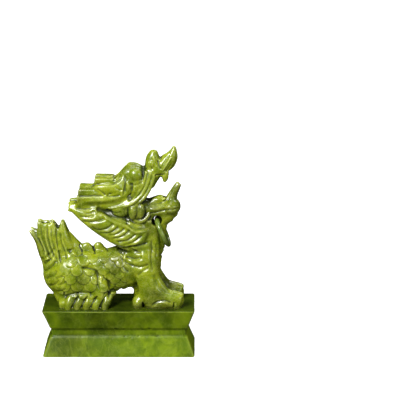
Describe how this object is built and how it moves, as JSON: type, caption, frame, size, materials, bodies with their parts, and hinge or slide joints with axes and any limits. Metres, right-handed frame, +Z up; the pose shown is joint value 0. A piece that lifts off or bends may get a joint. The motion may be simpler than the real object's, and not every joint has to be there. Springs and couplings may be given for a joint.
{
  "type": "carved stone figurine",
  "caption": "Carved green stone guardian beast with open jaws, a swept mane, scales and a flame tail on a stepped plinth, with a loose ring threaded under its chin.",
  "frame": {"origin": "middle of the plinth's underside", "axes": "+X the way the beast faces, +Y to its left, +Z up"},
  "size_m": [0.157, 0.0576, 0.2],
  "materials": {
    "jade_plinth": "polished, cloudy green",
    "jade_beast": "polished, waxed carving",
    "jade_ring": "polished"
  },
  "bodies": {
    "stone": {"plinth": "jade_plinth", "beast": "jade_beast"},
    "ring": {"chin_ring": "jade_ring"}
  },
  "joints": [
    {"name": "ring_swing", "type": "hinge", "parent": "stone", "child": "ring", "pos_m": [0.03645, 0, 0.1288], "axis": [0, -1, 0], "range_deg": [0, 50]}
  ]
}
